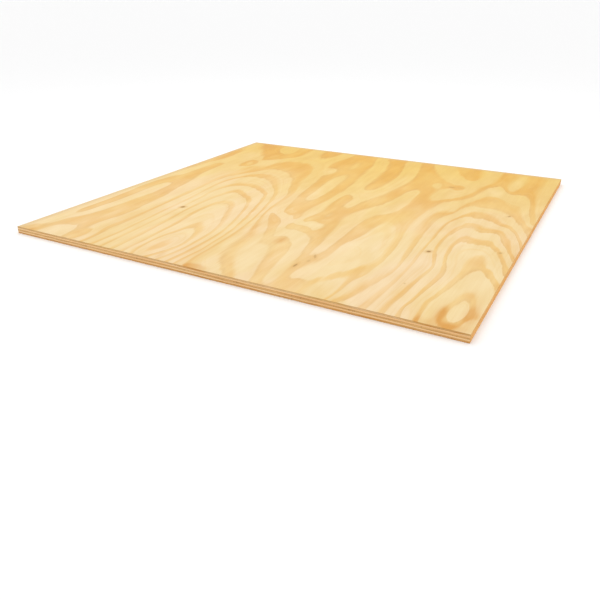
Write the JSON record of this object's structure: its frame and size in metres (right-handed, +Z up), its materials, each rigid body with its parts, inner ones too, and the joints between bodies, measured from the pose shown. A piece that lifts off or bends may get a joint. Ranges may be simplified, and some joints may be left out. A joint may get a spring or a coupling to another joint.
{
  "type": "plywood sheet",
  "caption": "Flat square softwood plywood sheet: cross-laminated pine veneers that show as bands on the sawn edges, with a bold peeled-pine figure on the face.",
  "frame": {"origin": "middle of the underside, which is the face that rests on the floor", "axes": "+Z up through the thickness, towards the good face; +Y along the grain of the face, away from the picture's near edge; +X across that grain, to the right along the near edge"},
  "size_m": [1.22, 1.22, 0.019],
  "materials": {
    "face_pine": "satin",
    "crossband_pine": "matte",
    "core_pine": "matte",
    "back_pine": "matte"
  },
  "bodies": {
    "root": {"face_veneer": "face_pine", "upper_crossband": "crossband_pine", "core_veneer": "core_pine", "lower_crossband": "crossband_pine", "back_veneer": "back_pine"}
  },
  "joints": []
}
